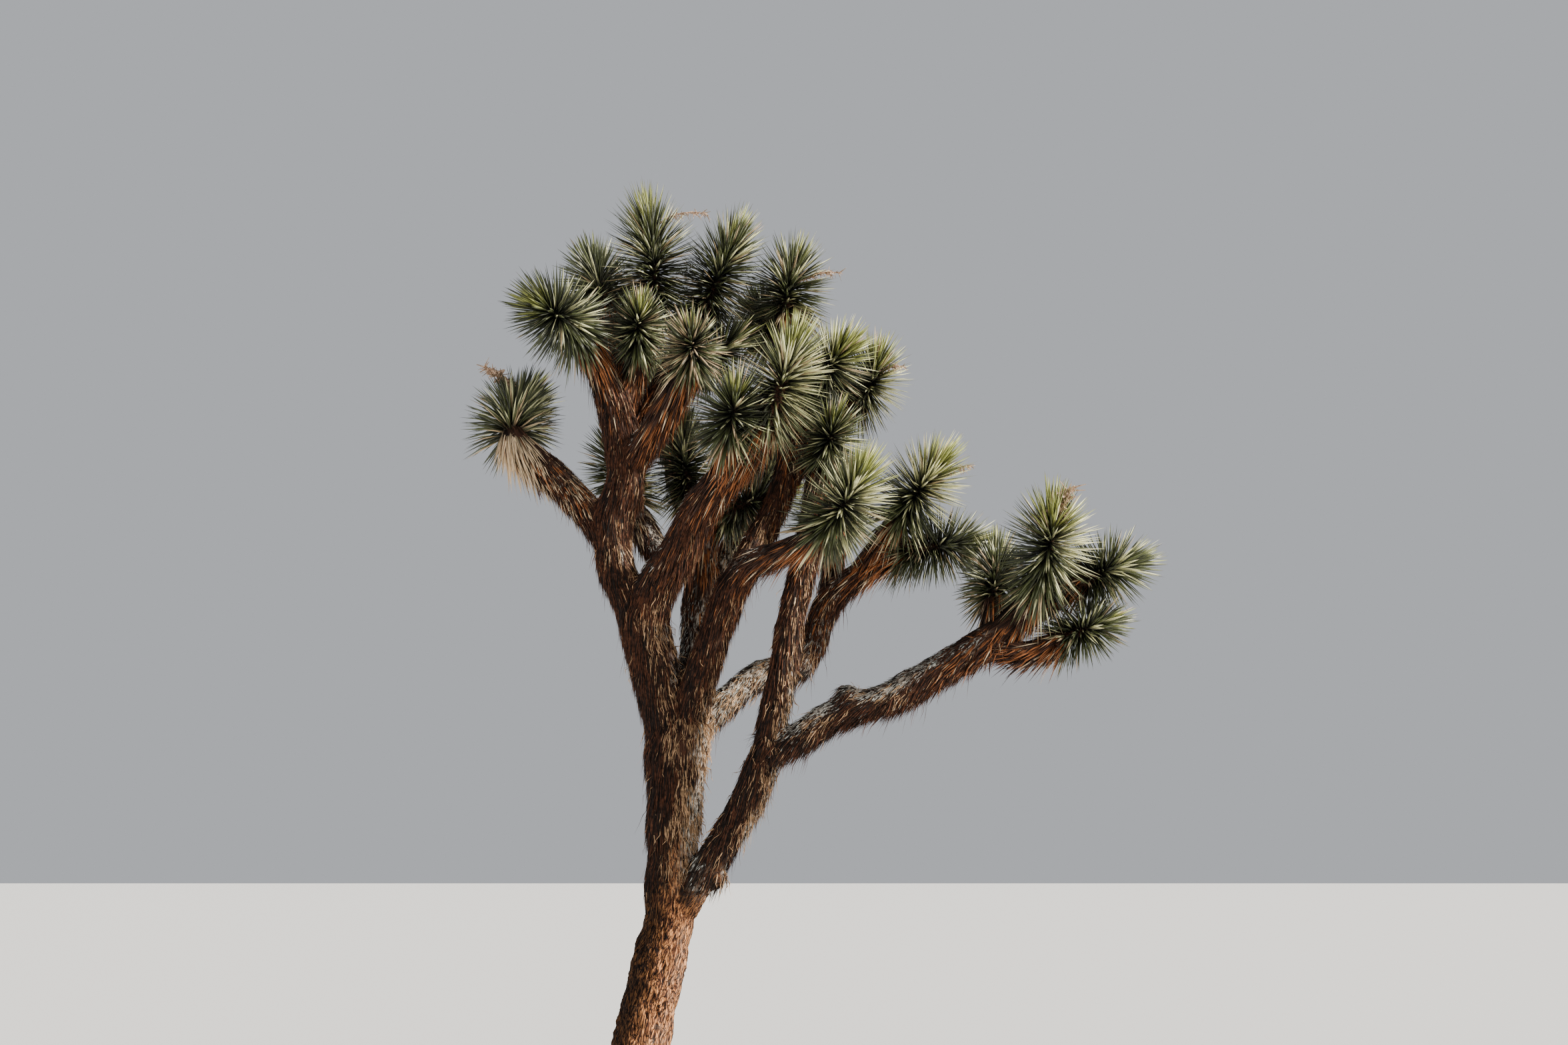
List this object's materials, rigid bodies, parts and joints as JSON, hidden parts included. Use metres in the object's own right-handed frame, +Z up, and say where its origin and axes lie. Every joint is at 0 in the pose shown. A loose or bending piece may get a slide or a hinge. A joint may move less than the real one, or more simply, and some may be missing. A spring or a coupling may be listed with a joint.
{
  "type": "joshua tree",
  "caption": "Rooted desert tree yucca: a leaning fibrous trunk, thick forking boughs and dense round heads of stiff dagger leaves, some with a dried flower stalk.",
  "frame": {"origin": "centre of the flat cut under the trunk, at ground level", "axes": "+Z up, +X to the right in the front view, along the long low arm, -Y towards the front"},
  "size_m": [4.344, 2.3193, 5.7589],
  "materials": {
    "trunk_bark": "rough, corky, fissured red-brown bark",
    "bough_bark": "coat of dry hanging leaf fibres, rust to grey",
    "leaves": "stiff satin leaves, grey-green"
  },
  "bodies": {
    "root": {"trunk": "trunk_bark", "left_bough": "bough_bark", "left_riser": "bough_bark", "left_arm": "bough_bark", "left_top": "bough_bark", "left_front_limb": "bough_bark", "upper_left_limb": "bough_bark", "top_limb": "bough_bark", "left_crown_limb": "bough_bark", "inner_top_limb": "bough_bark", "centre_bough": "bough_bark", "back_left_limb": "bough_bark", "back_bough": "bough_bark", "back_riser": "bough_bark", "rear_left_limb": "bough_bark", "rear_middle_limb": "bough_bark", "middle_bough": "bough_bark", "middle_arm": "bough_bark", "centre_riser": "bough_bark", "top_right_limb": "bough_bark", "right_crown_limb": "bough_bark", "rear_right_limb": "bough_bark", "low_right_bough": "bough_bark", "low_right_riser": "bough_bark", "right_bough": "bough_bark", "right_riser": "bough_bark", "long_arm": "bough_bark", "lower_arm": "bough_bark", "outer_arm": "bough_bark", "head_left": "leaves", "head_upper_left": "leaves", "head_left_crown": "leaves", "head_top": "leaves", "head_under_top": "leaves", "head_inner_top": "leaves", "head_inner_low": "leaves", "head_top_right": "leaves", "head_behind_right": "leaves", "head_centre": "leaves", "head_centre_low": "leaves", "head_right_of_centre": "leaves", "head_right_crown": "leaves", "head_middle_right": "leaves", "head_front": "leaves", "head_right": "leaves", "head_low_right": "leaves", "head_long_arm": "leaves", "head_arm_back": "leaves", "head_outer": "leaves", "head_lower_arm": "leaves", "head_left_front": "leaves", "head_back_left": "leaves", "head_back_centre": "leaves", "head_back_low": "leaves", "head_rear_left": "leaves", "head_rear_middle": "leaves", "head_rear_right": "leaves", "head_rear_low": "leaves"}
  },
  "joints": []
}
